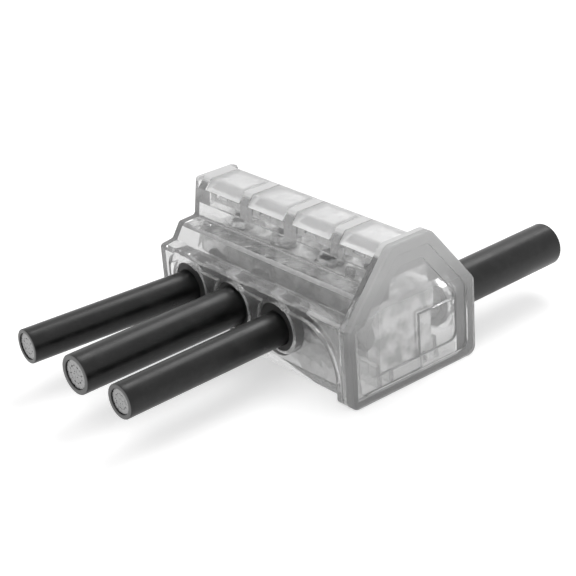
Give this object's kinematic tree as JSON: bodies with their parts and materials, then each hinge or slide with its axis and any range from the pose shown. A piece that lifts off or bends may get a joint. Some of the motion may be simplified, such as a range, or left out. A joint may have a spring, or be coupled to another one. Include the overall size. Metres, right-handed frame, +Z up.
{
  "type": "multi-tap connector",
  "caption": "Clear insulated multi-tap connector: a drilled metal bar with set screws in a moulded housing, with tap cables on one side and a main cable on the other.",
  "frame": {"origin": "middle of the flat base, under the axis of the bar", "axes": "+X along the row of wire ways to the end cap, -Y towards the tap cables, +Y towards the main cable, +Z up"},
  "size_m": [0.093, 0.1569, 0.0466],
  "materials": {
    "clear_housing": "clear moulded, slightly milky",
    "soft_seal": "soft and translucent",
    "bar_metal": "extruded and drilled",
    "screw_metal": "turned",
    "cable_jacket": "extruded, satin black",
    "strand_metal": "drawn strands, cut square"
  },
  "bodies": {
    "connector": {"housing": "clear_housing", "end_cap": "clear_housing", "connector_bar": "bar_metal", "port_seal_1": "soft_seal", "port_seal_2": "soft_seal", "port_seal_3": "soft_seal", "port_seal_4": "soft_seal", "tap_1_jacket": "cable_jacket", "tap_2_jacket": "cable_jacket", "tap_3_jacket": "cable_jacket", "main_jacket": "cable_jacket", "tap_1_conductor": "strand_metal", "tap_2_conductor": "strand_metal", "tap_3_conductor": "strand_metal", "main_conductor": "strand_metal"},
    "screw_1": {"set_screw_1": "screw_metal"},
    "screw_2": {"set_screw_2": "screw_metal"},
    "screw_3": {"set_screw_3": "screw_metal"},
    "screw_4": {"set_screw_4": "screw_metal"},
    "cover_1": {"screw_cover_1": "clear_housing"},
    "cover_2": {"screw_cover_2": "clear_housing"},
    "cover_3": {"screw_cover_3": "clear_housing"},
    "cover_4": {"screw_cover_4": "clear_housing"}
  },
  "joints": [
    {"name": "screw_1_back_out", "type": "slide", "parent": "connector", "child": "screw_1", "axis": [0, 0, 1], "range_m": [0, 0.0043]},
    {"name": "screw_2_back_out", "type": "slide", "parent": "connector", "child": "screw_2", "axis": [0, 0, 1], "range_m": [0, 0.0032]},
    {"name": "screw_3_back_out", "type": "slide", "parent": "connector", "child": "screw_3", "axis": [0, 0, 1], "range_m": [0, 0.0045]},
    {"name": "screw_4_back_out", "type": "slide", "parent": "connector", "child": "screw_4", "axis": [0, 0, 1], "range_m": [0, 0.002]},
    {"name": "cover_1_pull", "type": "slide", "parent": "connector", "child": "cover_1", "axis": [0, 0, 1], "range_m": [0, 0.012]},
    {"name": "cover_2_pull", "type": "slide", "parent": "connector", "child": "cover_2", "axis": [0, 0, 1], "range_m": [0, 0.012]},
    {"name": "cover_3_pull", "type": "slide", "parent": "connector", "child": "cover_3", "axis": [0, 0, 1], "range_m": [0, 0.012]},
    {"name": "cover_4_pull", "type": "slide", "parent": "connector", "child": "cover_4", "axis": [0, 0, 1], "range_m": [0, 0.012]}
  ]
}
